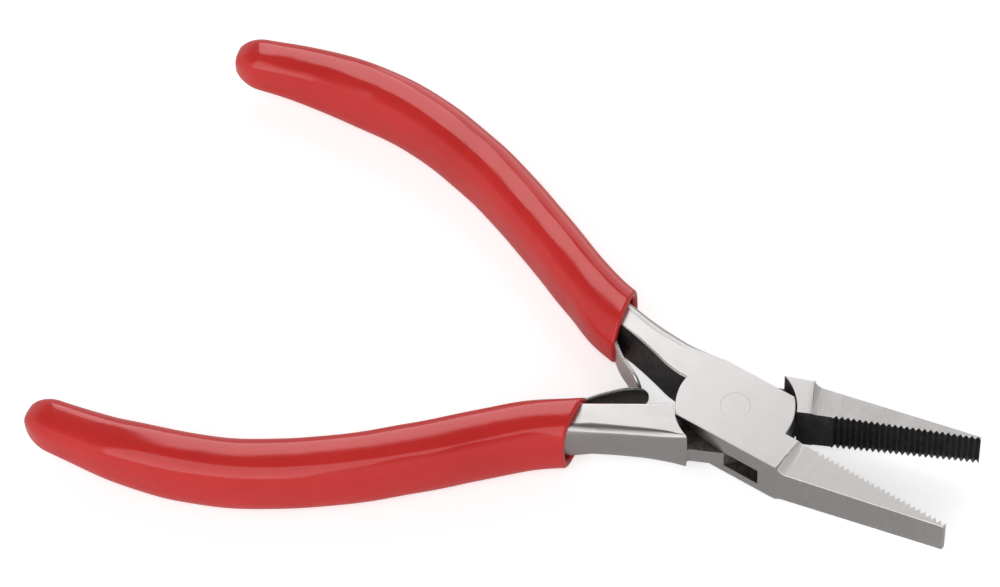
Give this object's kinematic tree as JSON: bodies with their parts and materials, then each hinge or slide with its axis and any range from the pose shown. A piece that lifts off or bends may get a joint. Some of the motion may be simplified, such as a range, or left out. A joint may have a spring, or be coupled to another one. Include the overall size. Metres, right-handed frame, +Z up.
{
  "type": "flat nose pliers",
  "caption": "Small box-joint pliers with flat tapered serrated jaws, dipped vinyl grips and leaf springs that open the handles.",
  "frame": {"origin": "on the joint's axis, on the joint's bottom face", "axes": "+Z up along the joint's axis, square to the flat faces; +X along the bisector of the two halves, towards the jaws; +Y completes a right-handed frame, on the side of the slotted half's handle"},
  "size_m": [0.1233, 0.077, 0.0101],
  "materials": {
    "forged_steel": "satin ground",
    "pin_steel": "ground flush",
    "spring_steel": "tempered grey",
    "red_vinyl": "glossy dipped vinyl"
  },
  "bodies": {
    "slotted_side": {"outer_half": "forged_steel", "joint_pin": "pin_steel", "outer_grip": "red_vinyl", "outer_leaf_spring": "spring_steel", "outer_spring_rivet": "pin_steel"},
    "web_side": {"inner_half": "forged_steel", "inner_grip": "red_vinyl", "inner_leaf_spring": "spring_steel", "inner_spring_rivet": "pin_steel"}
  },
  "joints": [
    {"name": "box_joint", "type": "hinge", "parent": "slotted_side", "child": "web_side", "pos_m": [0, 0, 0], "axis": [0, 0, 1], "range_deg": [-24.8, 5], "stiffness_Nm_per_rad": 0.4, "deforming": ["outer_leaf_spring", "inner_leaf_spring"]}
  ]
}
